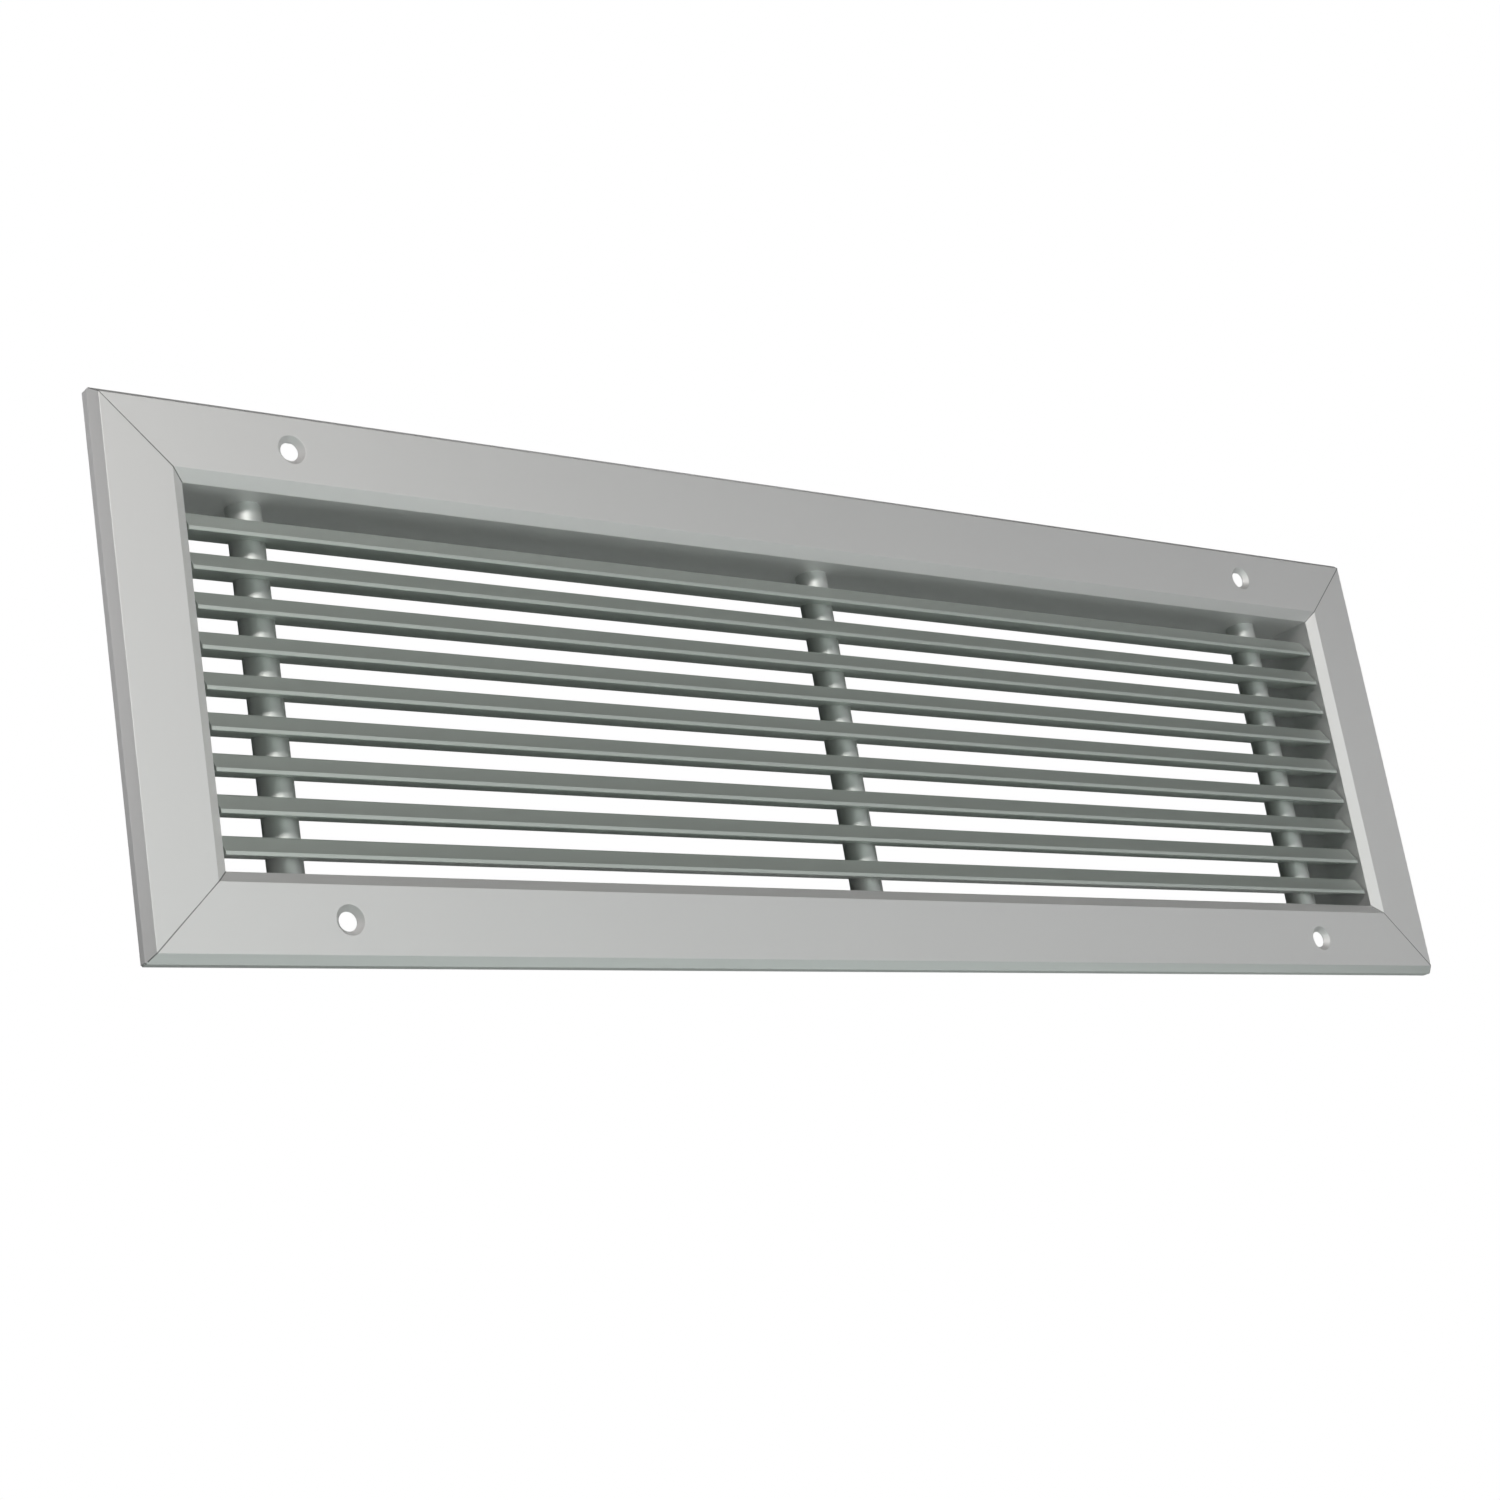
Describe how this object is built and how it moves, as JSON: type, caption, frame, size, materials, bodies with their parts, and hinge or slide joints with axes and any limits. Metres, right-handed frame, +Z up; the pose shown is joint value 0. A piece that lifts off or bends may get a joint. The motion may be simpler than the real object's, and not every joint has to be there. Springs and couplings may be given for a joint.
{
  "type": "ventilation grille",
  "caption": "Rectangular linear bar ventilation grille: mitred flange frame with a neck, inclined fixed blades on tie bars with spacers, and countersunk screw holes.",
  "frame": {"origin": "centre of the neck on the wall plane, where the flange's rear lip meets the wall", "axes": "+X along the blades, to the right as seen from the room, +Y back into the wall, +Z up"},
  "size_m": [0.55, 0.03, 0.174],
  "materials": {
    "frame": "satin natural anodised",
    "blade": "satin natural anodised, drawn along its length",
    "spacer": "cut from an extruded hollow section, satin",
    "bar": "zinc plated",
    "key": "plain mill"
  },
  "bodies": {
    "root": {"frame_top": "frame", "frame_bottom": "frame", "frame_left": "frame", "frame_right": "frame", "corner_key_top_left": "key", "corner_key_top_right": "key", "corner_key_bottom_left": "key", "corner_key_bottom_right": "key", "blade_1": "blade", "blade_2": "blade", "blade_3": "blade", "blade_4": "blade", "blade_5": "blade", "blade_6": "blade", "blade_7": "blade", "blade_8": "blade", "blade_9": "blade", "spacer_left_1": "spacer", "spacer_left_2": "spacer", "spacer_left_3": "spacer", "spacer_left_4": "spacer", "spacer_left_5": "spacer", "spacer_left_6": "spacer", "spacer_left_7": "spacer", "spacer_left_8": "spacer", "spacer_left_9": "spacer", "spacer_left_10": "spacer", "spacer_middle_1": "spacer", "spacer_middle_2": "spacer", "spacer_middle_3": "spacer", "spacer_middle_4": "spacer", "spacer_middle_5": "spacer", "spacer_middle_6": "spacer", "spacer_middle_7": "spacer", "spacer_middle_8": "spacer", "spacer_middle_9": "spacer", "spacer_middle_10": "spacer", "spacer_right_1": "spacer", "spacer_right_2": "spacer", "spacer_right_3": "spacer", "spacer_right_4": "spacer", "spacer_right_5": "spacer", "spacer_right_6": "spacer", "spacer_right_7": "spacer", "spacer_right_8": "spacer", "spacer_right_9": "spacer", "spacer_right_10": "spacer", "tie_bar_left": "bar", "tie_bar_middle": "bar", "tie_bar_right": "bar"}
  },
  "joints": []
}
